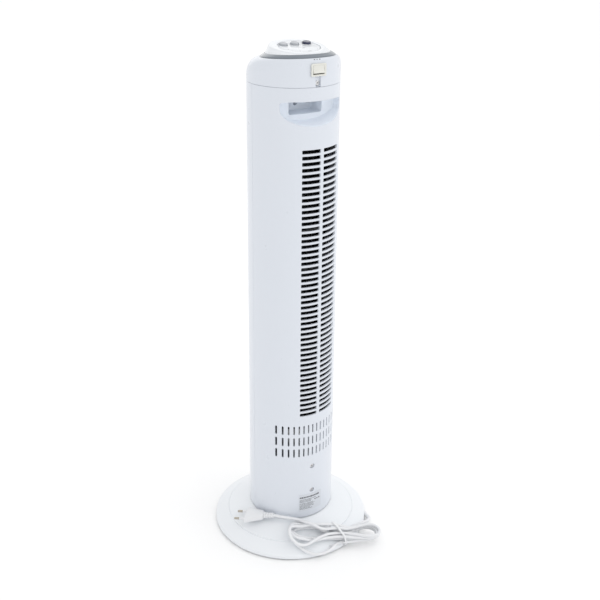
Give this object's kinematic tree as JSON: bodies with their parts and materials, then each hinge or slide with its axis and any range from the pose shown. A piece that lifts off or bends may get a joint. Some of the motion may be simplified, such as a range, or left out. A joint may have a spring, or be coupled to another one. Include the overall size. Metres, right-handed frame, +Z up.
{
  "type": "tower fan",
  "caption": "Tall white tower fan on a round domed base, with rear inlet slots, carry recess, top push buttons, rear rocker switch and a bundled mains lead.",
  "frame": {"origin": "centre of the round base on the plane its foot pads rest on", "axes": "+Z up along the column, -Y towards the front air outlet"},
  "size_m": [0.253, 0.2765, 0.7849],
  "materials": {
    "white_plastic": "satin white moulding",
    "grey_trim": "slate grey ring",
    "silver_button": "silver grey",
    "navy_button": "dark navy",
    "cream_plastic": "cream",
    "black_plastic": "matt black",
    "steel": "plated",
    "brass": "plain",
    "rubber": "matt",
    "cord_white": "soft flexible plastic",
    "label_white": "blank label"
  },
  "bodies": {
    "base": {"base_cover": "white_plastic", "base_plate": "white_plastic", "foot_pad_1": "rubber", "foot_pad_2": "rubber", "foot_pad_3": "rubber", "foot_pad_4": "rubber", "foot_pad_5": "rubber", "swivel_hub": "white_plastic", "swivel_washer": "white_plastic", "hub_retainer": "steel", "cord_gland": "cord_white", "cord_lead": "cord_white", "cord_hank": "cord_white", "cord_tie": "cord_white", "cord_tail": "cord_white", "plug_body": "cord_white", "plug_pin_left": "brass", "plug_pin_right": "brass"},
    "column": {"column_foot": "white_plastic", "front_shell": "white_plastic", "rear_shell": "white_plastic", "rating_label": "label_white", "top_cap": "white_plastic", "trim_ring": "grey_trim", "control_panel": "white_plastic", "control_plate": "white_plastic", "rocker_bezel": "cream_plastic", "cap_screw": "steel", "upper_rear_screw": "steel", "lower_rear_screw": "steel", "fan_motor": "steel", "motor_bracket": "steel", "bearing_plate": "white_plastic", "bearing_bush": "brass", "scroll_guide": "white_plastic", "vortex_guide": "white_plastic", "swing_motor": "steel", "button_switch": "black_plastic"},
    "rotor": {"impeller": "black_plastic", "rotor_shaft": "steel", "top_pin": "steel"},
    "left_button": {"left_button": "silver_button"},
    "middle_button": {"middle_button": "silver_button"},
    "right_button": {"right_button": "navy_button"},
    "rocker": {"rocker": "cream_plastic"},
    "swing_crank": {"swing_crank": "white_plastic"},
    "swing_link": {"swing_link": "steel"}
  },
  "joints": [
    {"name": "oscillation", "type": "hinge", "parent": "base", "child": "column", "pos_m": [0, 0, 0.037], "axis": [0, 0, 1], "range_deg": [-35, 35]},
    {"name": "rotor_spin", "type": "hinge", "parent": "column", "child": "rotor", "pos_m": [-0.005, 0.002, 0.43], "axis": [0, 0, 1], "continuous": true},
    {"name": "left_button_press", "type": "slide", "parent": "column", "child": "left_button", "axis": [0, -0.1133, -0.9936], "range_m": [0, 0.0025], "stiffness_N_per_m": 250},
    {"name": "middle_button_press", "type": "slide", "parent": "column", "child": "middle_button", "axis": [0, -0.1133, -0.9936], "range_m": [0, 0.0025], "stiffness_N_per_m": 250},
    {"name": "right_button_press", "type": "slide", "parent": "column", "child": "right_button", "axis": [0, -0.1133, -0.9936], "range_m": [0, 0.0025], "stiffness_N_per_m": 250},
    {"name": "rocker_tilt", "type": "hinge", "parent": "column", "child": "rocker", "pos_m": [0, 0.062, 0.7562], "axis": [1, 0, 0], "range_deg": [-18, 0]},
    {"name": "crank_turn", "type": "hinge", "parent": "column", "child": "swing_crank", "pos_m": [0.034, 0, 0.05], "axis": [0, 0, 1], "continuous": true},
    {"name": "link_pivot", "type": "hinge", "parent": "swing_crank", "child": "swing_link", "pos_m": [0.04, 0, 0.048], "axis": [0, 0, 1], "range_deg": [-20, 20]}
  ]
}
